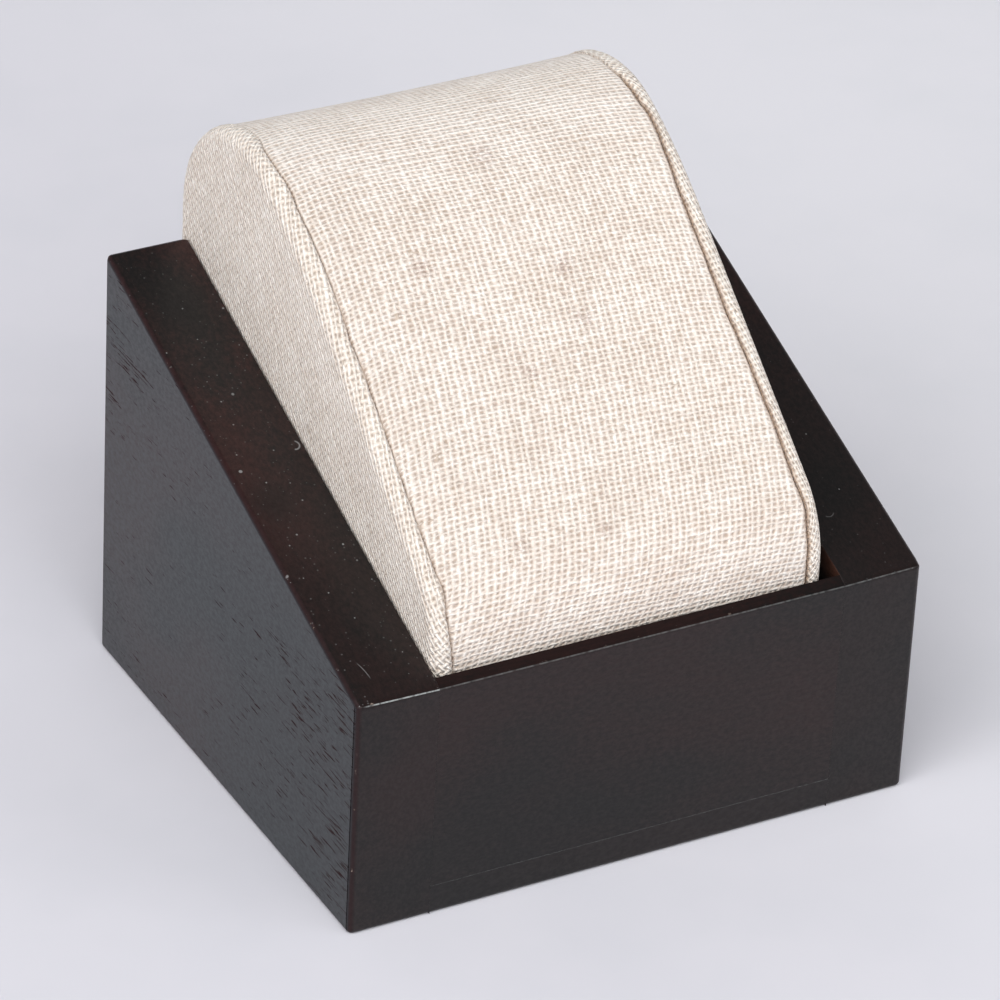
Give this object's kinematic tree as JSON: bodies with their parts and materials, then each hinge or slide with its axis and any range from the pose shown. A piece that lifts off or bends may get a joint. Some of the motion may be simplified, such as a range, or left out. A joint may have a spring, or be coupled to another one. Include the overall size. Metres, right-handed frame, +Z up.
{
  "type": "watch display stand",
  "caption": "Dark wood wedge-shaped base holding a linen-covered ramp pad with capped ends, for displaying a wristwatch.",
  "frame": {"origin": "centre of the underside of the wooden base", "axes": "+X to the right seen from the front, +Y to the back, +Z up"},
  "size_m": [0.09, 0.0846, 0.0902],
  "materials": {
    "stained_wood": "dark red-brown stain under a satin lacquer",
    "linen": "undyed plain-weave linen",
    "fibreboard": "raw fibreboard",
    "foam": "firm off-white foam"
  },
  "bodies": {
    "root": {"left_side_block": "stained_wood", "right_side_block": "stained_wood", "front_panel": "stained_wood", "bottom_board": "stained_wood", "pad_core": "foam", "wrap_strip": "linen", "left_end_board": "fibreboard", "right_end_board": "fibreboard", "left_end_cover": "linen", "right_end_cover": "linen"}
  },
  "joints": []
}
